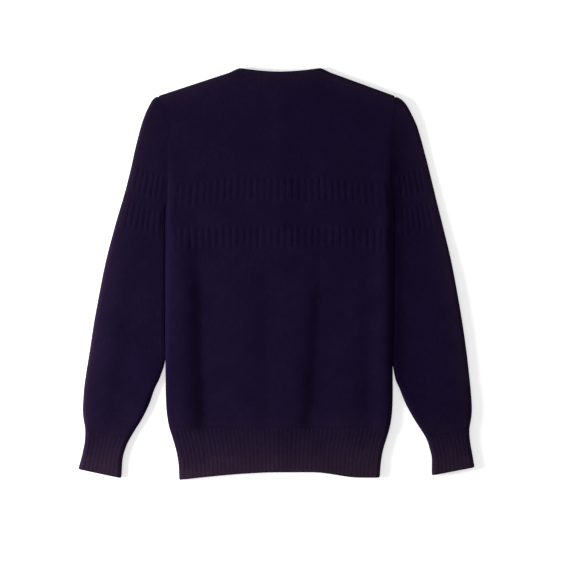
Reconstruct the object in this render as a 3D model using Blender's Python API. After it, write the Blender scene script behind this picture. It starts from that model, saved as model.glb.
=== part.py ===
"""Knitted cardigan laid flat with its back up, with one closed wall for each knitted piece.

+X is the right of the laid garment, +Y runs to the neck and +Z is up. Tables and named
dimensions are real sizes in millimetres, measured from the middle of the laid garment.
"""
import math
from collections import namedtuple

import bmesh
import bpy
from mathutils import Vector
from mathutils.geometry import intersect_point_line

GARMENT = "cardigan"
MM = 0.001
ACROSS = Vector((1, 0))

# Cloth
WALL = 2.4
SEAM = 0.3
SPLIT = SEAM / 2
LAID_HEIGHT = 10.5
FOLD_REACH = 8.0
FOLD_EASE = 2.4
NARROW_REACH = 0.28
NARROW_EASE = 0.09
ON_FOLD = 0.05
FOLD_LEVEL = 4.8
SIDE_LEVEL = 6.8
SIDE_RISE = 60.0

# Raised ribs
BAND_RIB_HEIGHT = 1.2
RIB_HEIGHT = 0.9
RIB_SHOULDER = 0.3
SHARP_DEGREES = 50.0

# Body
AXIS_X = 5.9
TIP_Y = 284.0
YOKE_Y = 176.0
ARMPIT_Y = 107.5
HEM_TOP = -246.0
HEM_MIDDLE = -317.5
HEM_CORNER_DROP = 9.5
HEM_FLAT = 60.0
HEM_CURVE = 80.0
HEM_PASSES = 3
BODY_CELLS = 16
SHOULDER_CELLS = 7
FRONT_CELLS = 11

# Neck
NECK_HALF = 81.6
NECK_Y = 321.0
BACK_NECK_DROP = 15.0
BACK_NECK_POWER = 2.4
FRONT_NECK_DROP = 96.0
COLLAR_HALF = 66.4
COLLAR_Y = 328.2
BACK_COLLAR_DROP = 6.3
BACK_COLLAR_POWER = 1.6
FRONT_COLLAR_DROP = 86.8
BACK_NECK_STATIONS = (0.0, 0.045, 0.27, 0.5, 0.73, 0.955, 1.0)
FRONT_NECK_STATIONS = (0.0, 0.023, 0.06, 0.29, 0.53, 0.76, 1.0)

# Front bands and buttons
PLACKET_HALF = 15.0
PLACKET_REACH = 12.0
PLACKET_RIDGE = 1.3
PLACKET_RIDGE_WIDTH = 24.0
FREE_EDGE_INSET = 0.5
BAND_TOP_STEP = 1.0
BUTTON_COUNT = 7
BUTTON_TOP_Y = 230.0
BUTTON_BOTTOM_Y = -288.0
BUTTON_RADIUS = 7.5
BUTTON_THICKNESS = 2.6
BUTTON_BEVEL = 0.7
BUTTON_SIDES = 20
BUTTON_HOLE_RADIUS = 0.9
BUTTON_HOLE_SIDES = 6
BUTTON_HOLE_REACH = 2.0
BUMP_FLAT = 9.5
BUMP_REACH = 14.5
SECOND_LAYER = WALL + SEAM

# Sleeves
SLEEVE_CELLS = 5
CUFF_CELLS = 4
CUFF_GAP = 0.015

# The body's edges from the shoulder tips to the hem, armholes above the armpit
BodyRow = namedtuple("BodyRow", "y left right")
BODY = tuple(BodyRow(*row) for row in (
    (284.0, -188.3, 189.0),
    (269.0, -181.0, 190.9),
    (255.0, -175.7, 189.3),
    (239.0, -170.8, 187.6),
    (218.0, -168.5, 186.1),
    (196.0, -168.5, 185.0),
    (176.0, -170.2, 184.4),
    (155.0, -172.2, 184.3),
    (113.0, -176.0, 187.0),
    (107.5, -176.5, 187.5),
    (40.0, -177.7, 187.9),
    (-80.0, -177.8, 187.0),
    (-165.0, -177.1, 186.3),
    (-196.0, -176.8, 186.3),
    (-225.0, -175.0, 185.0),
    (-246.0, -171.4, 181.7),
    (-264.0, -165.7, 176.5),
    (-283.0, -160.3, 170.7),
    (-302.0, -156.8, 167.5),
    (-330.0, -155.2, 165.2),
))

# Sections across each sleeve and cuff: the outer end, the inner end's height on the page
# and how far that end lies from the body's edge. The last three are the cuff's.
SleeveRow = namedtuple("SleeveRow", "outer_x outer_y gap inner_y")
SLEEVES = {
    "left": tuple(SleeveRow(*row) for row in (
        (-191.8, 282.3, 0.3, 282.0),
        (-197.5, 278.2, 0.3, 269.0),
        (-203.0, 269.1, 0.3, 255.0),
        (-209.9, 254.7, 0.3, 239.0),
        (-216.5, 235.5, 0.3, 218.0),
        (-222.9, 211.5, 0.3, 196.0),
        (-227.7, 191.5, 0.3, 176.0),
        (-232.3, 169.9, 0.3, 155.0),
        (-241.4, 133.1, 0.3, 113.0),
        (-243.9, 124.7, 0.4, 107.5),
        (-246.2, 116.3, 0.4, 99.0),
        (-257.8, 77.1, 0.4, 51.5),
        (-272.5, 21.1, 0.4, 0.3),
        (-282.9, -30.1, 0.4, -46.1),
        (-291.7, -78.1, 0.4, -92.5),
        (-299.0, -126.1, 0.5, -135.7),
        (-304.2, -158.1, 1.5, -166.1),
        (-307.7, -183.7, 15.2, -185.3),
        (-309.6, -210.9, 27.5, -211.7),
        (-309.3, -228.5, 44.0, -236.5),
        (-306.2, -249.3, 67.5, -262.9),
        (-306.7, -268.5, 79.5, -278.1),
        (-310.6, -289.3, 89.3, -298.9),
        (-317.0, -313.0, 93.1, -327.7),
    )),
    "right": tuple(SleeveRow(*row) for row in (
        (192.9, 282.0, 1.4, 281.6),
        (200.2, 278.2, 0.7, 269.0),
        (208.6, 269.1, 0.3, 255.0),
        (216.6, 254.7, 0.3, 239.0),
        (225.3, 235.5, 0.3, 218.0),
        (232.6, 211.5, 0.3, 196.0),
        (237.9, 191.5, 0.3, 176.0),
        (242.7, 173.1, 0.3, 155.0),
        (252.5, 133.1, 0.3, 113.0),
        (254.4, 125.1, 0.4, 107.5),
        (256.3, 117.1, 0.4, 99.0),
        (267.5, 72.3, 0.4, 56.3),
        (279.8, 21.1, 0.4, 1.9),
        (289.6, -30.1, 0.4, -46.1),
        (297.8, -78.1, 0.4, -92.5),
        (304.6, -126.1, 0.5, -135.7),
        (308.3, -158.1, 1.0, -166.9),
        (311.0, -183.7, 8.5, -185.3),
        (313.0, -210.9, 22.2, -211.7),
        (312.5, -228.5, 40.0, -237.3),
        (309.3, -249.3, 62.6, -262.9),
        (310.2, -268.5, 73.1, -278.1),
        (313.8, -289.3, 80.8, -295.7),
        (317.3, -310.1, 83.7, -323.2),
    )),
}
ARMPIT_ROW = 9
CUFF_ROW = 20

# Rows down the body and the sleeves. The raised bands lie between a plain row above and
# one below, and hold two rows of ribs each.
BODY_ROWS = (
    284.0, 282.0, 277.0, 269.0, 255.0, 239.0, 218.0, 196.0, 176.0,
    155.0, 150.0, 118.0, 113.0, 107.5,
    80.0, 75.0, 45.0, 40.0,
    0.0, -40.0, -80.0, -122.0, -165.0, -196.0, -225.0, HEM_TOP + SPLIT,
)
BODY_BANDS = ((10, 11), (15, 16))
SLEEVE_ROWS = (
    0, 1, 2, 3, 4, 5, 6,
    7, 7.12, 7.88, 8, 9,
    10, 10.12, 10.88, 11,
    12, 13, 14, 15, 16, 17, 18, 19, 20,
)
SLEEVE_BANDS = ((8, 9), (13, 14))
CUFF_ROWS = (CUFF_ROW + CUFF_GAP, CUFF_ROW + 0.2, CUFF_ROW + 1, CUFF_ROW + 2, CUFF_ROW + 3)
HEM_ROWS = (0.0, 0.06, 0.25, 0.52, 0.78, 1.0)
COLLAR_ROWS = (0.04, 0.2, 1.0)

# Long soft creases down the body and the sleeves: troughs are deep, ridges have a
# negative depth. Each fades in over its first part and out past its lower end.
Crease = namedtuple("Crease", "x_top y_top x_bottom y_bottom width depth")
CREASES = tuple(Crease(*row) for row in (
    (-129.0, 60.0, -120.5, -250.0, 12.0, 4.2),
    (72.0, 40.0, 52.0, -250.0, 13.0, 4.0),
    (-38.0, 0.0, -24.0, -240.0, 13.0, 1.2),
    (138.0, 0.0, 141.0, -245.0, 12.0, 1.4),
    (-158.0, 90.0, -152.0, -250.0, 17.0, -2.4),
    (-88.0, 20.0, -82.0, -250.0, 20.0, -1.0),
    (105.0, 30.0, 95.0, -250.0, 18.0, -1.2),
    (171.0, 90.0, 166.0, -250.0, 15.0, -2.4),
    (-228.0, 60.0, -268.0, -240.0, 26.0, -1.8),
    (236.0, 60.0, 268.0, -240.0, 26.0, -1.6),
))
CREASE_FADE_IN = 0.4
CREASE_FADE_OUT = 0.1

# Colours are linear
Finish = namedtuple("Finish", "color roughness")
KNIT = Finish((0.0105, 0.0055, 0.024), 0.9)
RIB = Finish((0.0165, 0.0095, 0.026), 0.9)
HORN = Finish((0.012, 0.009, 0.02), 0.35)


def clear_scene():
    """Remove the objects that a new scene starts with."""
    for thing in list(bpy.data.objects):
        bpy.data.objects.remove(thing)


def smooth(value):
    """Ease from 0 to 1."""
    value = min(max(value, 0.0), 1.0)
    return value * value * (3 - 2 * value)


def between(values, index):
    """Read a list of numbers or points at a place between two entries."""
    low = min(max(int(math.floor(index)), 0), len(values) - 2)
    part = index - low
    return values[low] * (1 - part) + values[low + 1] * part


def body_edge(side, y):
    """X of the body's left or right edge at a height on the page."""
    for upper, lower in zip(BODY, BODY[1:]):
        if y >= lower.y:
            break
    part = (upper.y - y) / (upper.y - lower.y)
    return getattr(upper, side) * (1 - part) + getattr(lower, side) * part


def hem_bottom(x):
    """Y of the hem's lower edge, which drops to both corners."""
    return HEM_MIDDLE - HEM_CORNER_DROP * smooth((abs(x - AXIS_X) - HEM_FLAT) / HEM_CURVE)


def toward(side):
    """-1 on the left and 1 on the right."""
    return -1 if side == "left" else 1


def sleeve_ends(side, row):
    """Outer and inner ends of a section across the sleeve, in plan."""
    table = SLEEVES[side]
    low = min(int(row), len(table) - 2)
    ends = []
    for section in (table[low], table[low + 1]):
        inner_x = body_edge(side, section.inner_y) + toward(side) * section.gap
        ends.append((
            Vector((section.outer_x, section.outer_y)),
            Vector((inner_x, section.inner_y)),
        ))
    part = row - low
    return tuple(first.lerp(last, part) for first, last in zip(*ends))


def neck_point(side):
    """Where the neck seam crosses the shoulder."""
    return Vector((AXIS_X + toward(side) * NECK_HALF, NECK_Y))


def shoulder_tip(side):
    """Top of the armhole."""
    return Vector((body_edge(side, TIP_Y), TIP_Y))


def back_neck(station):
    """Neck seam across the back, from left to right."""
    across = 2 * station - 1
    drop = BACK_NECK_DROP * (1 - abs(across) ** BACK_NECK_POWER)
    return Vector((AXIS_X + across * NECK_HALF, NECK_Y - drop))


def back_collar(station):
    """Free edge of the neckband across the back."""
    across = 2 * station - 1
    drop = BACK_COLLAR_DROP * (1 - abs(across) ** BACK_COLLAR_POWER)
    return Vector((AXIS_X + across * COLLAR_HALF, COLLAR_Y - drop))


def front_curve(side, station, half, top, drop):
    """Quarter ellipse from the shoulder to the band's edge."""
    last = math.acos((PLACKET_HALF + SEAM) / half)
    angle = station * last
    x = AXIS_X + toward(side) * half * math.cos(angle)
    return Vector((x, top - drop * math.sin(angle)))


def front_neck(side, station):
    """Neck seam of one front."""
    return front_curve(side, station, NECK_HALF, NECK_Y, FRONT_NECK_DROP)


def front_collar(side, station):
    """Free edge of the neckband on one front."""
    return front_curve(side, station, COLLAR_HALF, COLLAR_Y, FRONT_COLLAR_DROP)


def level_at_side(y):
    """Height of the body's folded side, which rises above the sleeves."""
    return FOLD_LEVEL + (SIDE_LEVEL - FOLD_LEVEL) * smooth((ARMPIT_Y - y) / SIDE_RISE)


def level_elsewhere(y):
    """Height of every other folded edge."""
    return FOLD_LEVEL


# A folded edge: its path in plan, its height, whether a seam runs along it, and the side
# of the path that the cloth lies on, 1 for its left and -1 for its right
Fold = namedtuple("Fold", "path level split turn")


def outer_fold(side, split):
    """From the neckband's peak over the shoulder and down the sleeve to the cuff."""
    peak = Vector((AXIS_X + toward(side) * COLLAR_HALF, COLLAR_Y))
    path = [peak, neck_point(side), shoulder_tip(side)]
    path += [Vector((row.outer_x, row.outer_y)) for row in SLEEVES[side]]
    return Fold(path, level_elsewhere, split, -toward(side))


def side_fold(side):
    """From the armpit down the body's side to the hem."""
    path = [Vector((getattr(row, side), row.y)) for row in BODY if row.y <= ARMPIT_Y]
    return Fold(path, level_at_side, True, -toward(side))


def inner_fold(side):
    """From the armpit down the sleeve's inner edge to the cuff."""
    path = [sleeve_ends(side, row)[1] for row in range(ARMPIT_ROW, len(SLEEVES[side]))]
    return Fold(path, level_elsewhere, True, toward(side))


def reach_to(fold, x, y):
    """Distance from a place to a fold, and the direction in from the fold."""
    place = Vector((x, y))
    nearest = None
    for start, end in zip(fold.path, fold.path[1:]):
        foot, part = intersect_point_line(place, start, end)
        foot = start.lerp(end, min(max(part, 0.0), 1.0))
        offset = place - foot.to_2d()
        if nearest is None or offset.length < nearest.length:
            nearest = offset
            along = (end - start).normalized()
    distance = nearest.length
    if distance < ON_FOLD:
        return distance, Vector((-along.y, along.x)) * fold.turn
    return distance, nearest / distance


def height_at(x, y):
    """Height of the upper cloth away from its folded edges."""
    height = LAID_HEIGHT
    height += PLACKET_RIDGE * math.exp(-(((x - AXIS_X) / PLACKET_RIDGE_WIDTH) ** 2))
    for crease in CREASES:
        along = (crease.y_top - y) / (crease.y_top - crease.y_bottom)
        if along <= 0:
            continue
        centre = crease.x_top + (crease.x_bottom - crease.x_top) * along
        weight = smooth(along / CREASE_FADE_IN) * (1 - smooth((along - 1) / CREASE_FADE_OUT))
        height -= crease.depth * weight * math.exp(-(((x - centre) / crease.width) ** 2))
    return height


def lift_at(x):
    """How far the left front rises to reach its band, which lies over the other band."""
    edge = AXIS_X - PLACKET_HALF
    if x > edge + PLACKET_HALF:
        return 0.0
    return SECOND_LAYER * smooth((x - edge + PLACKET_REACH) / PLACKET_REACH)


def lay(x, y, upper, folds, section=None):
    """Point and outward normal of the upper or lower cloth at a place in plan.

    A section's direction, where there is one, keeps the normal in that section.
    """
    nearest = min(((*reach_to(fold, x, y), fold) for fold in folds), key=lambda item: item[0])
    distance, inward, fold = nearest
    if section is not None:
        inward = section if inward.dot(section) > 0 else -section
    lean = max(1 - distance / FOLD_REACH, 0.0)
    turn = math.sqrt(1 - lean * lean)
    level = fold.level(y)
    split = SPLIT * lean if fold.split else 0.0
    if upper:
        rise = height_at(x, y) - level
        height = level + rise * turn + split
        normal = Vector((*(-inward * rise * lean), FOLD_REACH * turn))
    else:
        height = level * (1 - turn) - split + lift_at(x)
        normal = Vector((*(-inward * level * lean), -FOLD_REACH * turn))
    return Vector((x, y, height)), normal.normalized()


def rib(cell_part, ribs_in_cell):
    """Height of a row of ribs, from 0 in a groove to 1 on a rib."""
    phase = (cell_part * ribs_in_cell) % 1.0
    return min(1.0, phase / RIB_SHOULDER, (1 - phase) / RIB_SHOULDER)


# Ribs raised on a wall: the rows that carry them, the first and last of the cells that
# do, how many ribs a cell holds, the cuts that draw one rib, and their height
Ribs = namedtuple("Ribs", "rows first last per_cell steps height")


def rib_edges(mesh, ribs):
    """Edges of the outer face that run along a ribbed row."""
    chosen = []
    for edge in mesh.edges:
        start, end = (vertex.co for vertex in edge.verts)
        along_row = abs(start.y - end.y) < 0.5 and abs(start.x - end.x) > 0.5
        middle = (start.x + end.x) / 2
        in_cells = ribs.first < middle < ribs.last
        outer = start.z > 0.5 and end.z > 0.5
        if along_row and outer and in_cells and round(start.y) in ribs.rows:
            chosen.append(edge)
    return chosen


def new_material(name, finish):
    """Plain material of one colour."""
    material = bpy.data.materials.new(name)
    material.use_nodes = True
    shader = material.node_tree.nodes["Principled BSDF"]
    shader.inputs["Base Color"].default_value = (*finish.color, 1.0)
    shader.inputs["Roughness"].default_value = finish.roughness
    shader.inputs["Metallic"].default_value = 0.0
    return material


def add_object(name, mesh, finish):
    """Put a finished mesh in the garment's collection under its own name, facing out."""
    bmesh.ops.recalc_face_normals(mesh, faces=mesh.faces[:])
    if mesh.calc_volume(signed=True) < 0:
        bmesh.ops.reverse_faces(mesh, faces=mesh.faces[:])
    data = bpy.data.meshes.new(name)
    mesh.to_mesh(data)
    mesh.free()
    data.shade_smooth()
    data.set_sharp_from_angle(angle=math.radians(SHARP_DEGREES))
    data.materials.append(new_material(name + "_finish", finish))
    piece = bpy.data.objects.new(name, data)
    bpy.data.collections[GARMENT].objects.link(piece)
    return piece


def add_wall(name, columns, rows, place, finish, ribs=()):
    """Closed wall: an outer face laid by place(column, row), and a plain inner face."""
    mesh = bmesh.new()
    bmesh.ops.create_grid(mesh, x_segments=columns, y_segments=rows, size=0.5)
    for vertex in mesh.verts:
        column = round((vertex.co.x + 0.5) * columns)
        row = round((vertex.co.y + 0.5) * rows)
        vertex.co = (column, row, 0)
    risen = bmesh.ops.extrude_face_region(mesh, geom=mesh.faces[:], use_keep_orig=True)
    for item in risen["geom"]:
        if isinstance(item, bmesh.types.BMVert):
            item.co.z = 1
    for group in ribs:
        cuts = group.per_cell * group.steps - 1
        edges = rib_edges(mesh, group)
        bmesh.ops.subdivide_edges(mesh, edges=edges, cuts=cuts, use_grid_fill=True)
    for vertex in mesh.verts:
        column, row, outer = vertex.co
        point, normal = place(column, row)
        depth = -WALL
        if outer > 0.5:
            depth = 0.0
            for group in ribs:
                if group.first < column < group.last and round(row) in group.rows:
                    depth = group.height * rib(column % 1.0, group.per_cell)
        vertex.co = (point + normal * depth) * MM
    many_sided = [face for face in mesh.faces if len(face.verts) > 4]
    bmesh.ops.triangulate(mesh, faces=many_sided, ngon_method="BEAUTY")
    return add_object(name, mesh, finish)


def spread(width, cells, near_end=True, far_end=True):
    """Distances across a width: two short steps at a folded end, even cells between."""
    ease = min(FOLD_EASE, NARROW_EASE * width)
    reach = min(FOLD_REACH, NARROW_REACH * width)
    start = [0.0, ease] if near_end else []
    end = [width - ease, width] if far_end else []
    first = reach if near_end else 0.0
    last = width - reach if far_end else width
    even = [first + (last - first) * step / cells for step in range(cells + 1)]
    return start + even + end


def shoulder_points(side):
    """Points along the shoulder, from the tip to the neck."""
    tip = shoulder_tip(side)
    neck = neck_point(side)
    length = (neck - tip).length
    steps = spread(length, SHOULDER_CELLS - 2, far_end=False)
    return [tip.lerp(neck, step / length) for step in steps]


def panel_place(top, left, right, steps, upper, folds):
    """Place function of a body panel that hangs from a shaped top edge."""
    def regular(column, y):
        near = left(y)
        far = right(y)
        return Vector((near + between(steps(far - near), column), y))

    def place(column, row):
        y = between(BODY_ROWS, row)
        if y > YOKE_Y:
            down = (TIP_Y - y) / (TIP_Y - YOKE_Y)
            start = between(top, column)
            spot = start.lerp(regular(column, YOKE_Y), down)
            across = column / (len(top) - 1)
            edges = ((1 - 2 * across, left, top[0]), (2 * across - 1, right, top[-1]))
            for share, edge, corner in edges:
                height = corner.y + (YOKE_Y - corner.y) * down
                straight = corner.x + (edge(YOKE_Y) - corner.x) * down
                spot.x += max(share, 0.0) * (edge(height) - straight)
        else:
            spot = regular(column, y)
        section = ACROSS if y <= ARMPIT_Y else None
        return lay(spot.x, spot.y, upper, folds, section)
    return place


def body_folds():
    """Folded edges of the body."""
    return [outer_fold(side, True) for side in SLEEVES] + [side_fold(side) for side in SLEEVES]


def band_ribs(bands, first, last, per_cell):
    """Two rows of ribs for each raised band."""
    rows = [row for band in bands for row in band]
    return (Ribs(rows, first, last, per_cell, 3, BAND_RIB_HEIGHT),)


def add_back():
    """Back panel with its two raised bands."""
    neck = [back_neck(station) for station in BACK_NECK_STATIONS]
    left = shoulder_points("left")
    right = shoulder_points("right")
    top = left[:-1] + neck + right[-2::-1]
    place = panel_place(
        top,
        lambda y: body_edge("left", y),
        lambda y: body_edge("right", y),
        lambda width: spread(width, BODY_CELLS),
        True,
        body_folds(),
    )
    ribs = band_ribs(BODY_BANDS, 2, 2 + BODY_CELLS, 2)
    add_wall("back", len(top) - 1, len(BODY_ROWS) - 1, place, KNIT, ribs)


def placket_edge(side):
    """X of a front's centre edge."""
    return AXIS_X + toward(side) * (PLACKET_HALF + SEAM)


def add_front(side):
    """One front, from its side and armhole to its band."""
    neck = [front_neck(side, station) for station in FRONT_NECK_STATIONS]
    top = shoulder_points(side)[:-1] + neck
    place = panel_place(
        top,
        lambda y: body_edge(side, y),
        lambda y: placket_edge(side),
        lambda width: front_steps(side, width),
        False,
        body_folds(),
    )
    add_wall("front_" + side, len(top) - 1, len(BODY_ROWS) - 1, place, KNIT)


def front_steps(side, width):
    """Signed distances from a front's side to its band."""
    return [-toward(side) * step for step in spread(abs(width), FRONT_CELLS, far_end=False)]


def hem_place(near, far, steps, upper, folds):
    """Place function of a stretch of hem between two edges."""
    def place(column, row):
        down = between(HEM_ROWS, row)
        top = HEM_TOP - SPLIT
        x = AXIS_X
        for _ in range(HEM_PASSES):
            y = top + (hem_bottom(x) - top) * down
            x = near(y) + between(steps(far(y) - near(y)), column)
        return lay(x, y, upper, folds, ACROSS)
    return place


def add_hem():
    """Ribbed hem: the back's ribs stand up, and the fronts' underside lies flat."""
    folds = body_folds()
    place = hem_place(
        lambda y: body_edge("left", y),
        lambda y: body_edge("right", y),
        lambda width: spread(width, BODY_CELLS),
        True,
        folds,
    )
    rows = range(1, len(HEM_ROWS))
    ribs = (Ribs(rows, 2, 2 + BODY_CELLS, 3, 2, RIB_HEIGHT),)
    add_wall("hem_back", BODY_CELLS + 4, len(HEM_ROWS) - 1, place, RIB, ribs)
    for side in SLEEVES:
        place = hem_place(
            lambda y: body_edge(side, y),
            lambda y: placket_edge(side),
            lambda width: front_steps(side, width),
            False,
            folds,
        )
        add_wall("hem_" + side, FRONT_CELLS + 2, len(HEM_ROWS) - 1, place, RIB)


def sleeve_place(side, cells, rows):
    """Place function of a sleeve or cuff, from its inner edge over the top and back below."""
    folds = [outer_fold(side, False), inner_fold(side)]
    half = cells + 4

    def place(column, row):
        station = between(rows, row)
        outer, inner = sleeve_ends(side, station)
        upper = column <= half
        step = column if upper else 2 * half - column
        width = (outer - inner).length
        spot = inner.lerp(outer, between(spread(width, cells), step) / width)
        section = (outer - inner) / width if station >= ARMPIT_ROW - 1 else None
        return lay(spot.x, spot.y, upper, folds, section)
    return place


def add_sleeve(side):
    """Sleeve with its two raised bands, open along its underarm seam."""
    place = sleeve_place(side, SLEEVE_CELLS, SLEEVE_ROWS)
    columns = 2 * (SLEEVE_CELLS + 4)
    ribs = band_ribs(SLEEVE_BANDS, 2, 2 + SLEEVE_CELLS, 1)
    add_wall("sleeve_" + side, columns, len(SLEEVE_ROWS) - 1, place, KNIT, ribs)


def add_cuff(side):
    """Ribbed cuff."""
    place = sleeve_place(side, CUFF_CELLS, CUFF_ROWS)
    columns = 2 * (CUFF_CELLS + 4)
    rows = range(1, len(CUFF_ROWS))
    ribs = (Ribs(rows, 2, 2 + CUFF_CELLS, 2, 2, RIB_HEIGHT),)
    add_wall("cuff_" + side, columns, len(CUFF_ROWS) - 1, place, RIB, ribs)


def add_neckband():
    """Neckband from the left front band round the back to the right one."""
    seam = [front_neck("left", station) for station in FRONT_NECK_STATIONS[::-1]]
    free = [front_collar("left", station) for station in FRONT_NECK_STATIONS[::-1]]
    first_back = len(seam) - 1
    seam += [back_neck(station) for station in BACK_NECK_STATIONS[1:]]
    free += [back_collar(station) for station in BACK_NECK_STATIONS[1:]]
    last_back = len(seam) - 1
    seam += [front_neck("right", station) for station in FRONT_NECK_STATIONS[1:]]
    free += [front_collar("right", station) for station in FRONT_NECK_STATIONS[1:]]
    folds = [outer_fold(side, False) for side in SLEEVES]

    def place(column, row):
        spot = between(seam, column).lerp(between(free, column), between(COLLAR_ROWS, row))
        return lay(spot.x, spot.y, first_back <= column <= last_back, folds)

    rows = range(1, len(COLLAR_ROWS))
    ribs = (Ribs(rows, first_back + 1, last_back - 1, 5, 2, RIB_HEIGHT),)
    add_wall("neckband", len(seam) - 1, len(COLLAR_ROWS) - 1, place, RIB, ribs)


def button_places():
    """Heights of the buttons on the page."""
    pitch = (BUTTON_TOP_Y - BUTTON_BOTTOM_Y) / (BUTTON_COUNT - 1)
    return [BUTTON_TOP_Y - pitch * number for number in range(BUTTON_COUNT)]


def bump(x, y):
    """How far the bands rise over the buttons."""
    rise = 0.0
    for centre in button_places():
        away = max(abs(x - AXIS_X), abs(y - centre))
        share = (BUMP_REACH - away) / (BUMP_REACH - BUMP_FLAT)
        rise = max(rise, min(share, 1.0))
    return rise * (BUTTON_THICKNESS + SEAM)


def add_bands():
    """Button band on the left front, over the buttonhole band on the right front."""
    top = front_collar("left", 1.0).y
    lines = [top]
    for centre in button_places():
        for offset in (BUMP_REACH, BUMP_FLAT, -BUMP_FLAT, -BUMP_REACH):
            lines.append(min(centre + offset, top - BAND_TOP_STEP))
    lines.append(HEM_MIDDLE)
    free = PLACKET_HALF - FREE_EDGE_INSET
    strips = {
        "buttonhole_band": ((-free, -BUMP_FLAT, BUMP_FLAT, PLACKET_HALF), 0.0),
        "button_band": ((-PLACKET_HALF, -BUMP_FLAT, BUMP_FLAT, free), SECOND_LAYER),
    }
    for name, (across, base) in strips.items():
        def place(column, row, across=across, base=base):
            x = AXIS_X + between(across, column)
            y = between(lines, row)
            return Vector((x, y, base + bump(x, y))), Vector((0, 0, -1))
        add_wall(name, len(across) - 1, len(lines) - 1, place, RIB)


def button_mesh():
    """Round button with a rounded rim and four holes."""
    mesh = bmesh.new()
    bmesh.ops.create_circle(mesh, segments=BUTTON_SIDES, radius=BUTTON_RADIUS * MM)
    for corner in range(4):
        angle = math.radians(45 + 90 * corner)
        hole = bmesh.ops.create_circle(
            mesh,
            segments=BUTTON_HOLE_SIDES,
            radius=BUTTON_HOLE_RADIUS * MM,
        )
        shift = Vector((math.cos(angle), math.sin(angle), 0)) * BUTTON_HOLE_REACH * MM
        bmesh.ops.translate(mesh, verts=hole["verts"], vec=shift)
    bmesh.ops.triangle_fill(mesh, edges=mesh.edges[:], use_beauty=True)
    raised = bmesh.ops.extrude_face_region(mesh, geom=mesh.faces[:], use_keep_orig=True)
    upper = [item for item in raised["geom"] if isinstance(item, bmesh.types.BMVert)]
    bmesh.ops.translate(mesh, verts=upper, vec=(0, 0, BUTTON_THICKNESS * MM))
    rim = [edge for edge in mesh.edges if on_rim(edge)]
    bmesh.ops.bevel(mesh, geom=rim, offset=BUTTON_BEVEL * MM, segments=1, affect="EDGES")
    return mesh


def on_rim(edge):
    """Whether an edge runs round the button's upper or lower rim."""
    start, end = (vertex.co for vertex in edge.verts)
    far_out = min(start.xy.length, end.xy.length) > (BUTTON_RADIUS - BUTTON_BEVEL) * MM
    return far_out and abs(start.z - end.z) < BUTTON_BEVEL * MM


def add_buttons():
    """Buttons down the centre, under the bands that they close."""
    for number, y in enumerate(button_places(), start=1):
        button = add_object("button_%d" % number, button_mesh(), HORN)
        button.location = (AXIS_X * MM, y * MM, 0)


def centre_on_floor():
    """Put the middle of the whole garment's footprint at the origin."""
    bpy.context.view_layer.update()
    pieces = bpy.data.collections[GARMENT].objects
    corners = [piece.matrix_world @ Vector(corner) for piece in pieces for corner in piece.bound_box]
    middle_x = (min(point.x for point in corners) + max(point.x for point in corners)) / 2
    middle_y = (min(point.y for point in corners) + max(point.y for point in corners)) / 2
    bottom = min(point.z for point in corners)
    for piece in pieces:
        piece.location -= Vector((middle_x, middle_y, bottom))


def main():
    clear_scene()
    bpy.context.scene.collection.children.link(bpy.data.collections.new(GARMENT))
    add_back()
    for side in SLEEVES:
        add_front(side)
        add_sleeve(side)
        add_cuff(side)
    add_hem()
    add_neckband()
    add_bands()
    add_buttons()
    centre_on_floor()


main()
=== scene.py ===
import math
from collections import namedtuple
from functools import partial

import bmesh
import bpy
import numpy as np
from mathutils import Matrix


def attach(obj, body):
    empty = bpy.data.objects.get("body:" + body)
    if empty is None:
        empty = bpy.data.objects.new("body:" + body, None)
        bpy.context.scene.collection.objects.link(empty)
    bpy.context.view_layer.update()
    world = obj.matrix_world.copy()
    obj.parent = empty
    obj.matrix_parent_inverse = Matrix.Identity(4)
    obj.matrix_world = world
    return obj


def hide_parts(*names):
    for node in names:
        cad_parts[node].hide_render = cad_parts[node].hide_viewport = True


bl_info = {
    "name": "Laid cardigan",
    "version": (1, 0, 0),
    "blender": (4, 5, 0),
    "location": "3D View > Sidebar > Cardigan",
    "description": "Knitted cardigan laid flat with its back up",
    "category": "Add Mesh",
}

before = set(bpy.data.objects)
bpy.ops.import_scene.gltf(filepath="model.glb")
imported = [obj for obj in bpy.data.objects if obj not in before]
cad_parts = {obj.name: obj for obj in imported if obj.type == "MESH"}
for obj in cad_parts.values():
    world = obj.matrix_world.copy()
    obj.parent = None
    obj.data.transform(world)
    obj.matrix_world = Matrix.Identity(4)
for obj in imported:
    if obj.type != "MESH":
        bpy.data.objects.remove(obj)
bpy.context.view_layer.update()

# Sizes are millimetres from the middle of the laid garment: +X is its right and +Y its neck.
# The shift brings the footprint's middle to the origin
MM = 0.001
SHIFT = np.array((-0.15, -0.25, 0.002))
SIDES = ("left", "right")

# Seams: how far the layers part, and how far neighbouring pieces close up and lap
SEAM_SPLIT = 0.15
SEAM_CLOSED = 0.5
SEAM_LAP = 0.1
NECKBAND_LAP = 0.015

# How deep the cloth's outer face sinks at a seam, a side seam and a finished end
SEAM_DIP = 0.15
SIDE_SEAM_DIP = 0.2
END_DIP = 0.9
DIP_REACH = 3.0
NECKBAND_END_REACH = 2.5
BAND_EDGE_DIP = 0.7
BAND_EDGE_REACH = 1.6
INNER_SHARE = 0.5

# Lie of the upper cloth and of the folded edges
LAID_HEIGHT = 10.5
CENTRE_RISE = 1.3
CENTRE_REACH = 24.0
FOLD_REACH = 8.0
FOLD_LEVEL = 4.8
SIDE_LEVEL = 6.8
SIDE_RISE = 60.0
SECOND_LAYER = 2.7
FOLD_BEYOND = 3.0
FOLD_TOUCH = 0.05
FOLD_STEPS = (0.0, 0.5, 1.3, 2.5, 4.0, 5.9)
SHARP_ANGLE = math.radians(70)

# Slow unevenness of the cloth: seed, length and height
WAVERS = ((3, 95.0, 0.45), (11, 34.0, 0.25))

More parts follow.
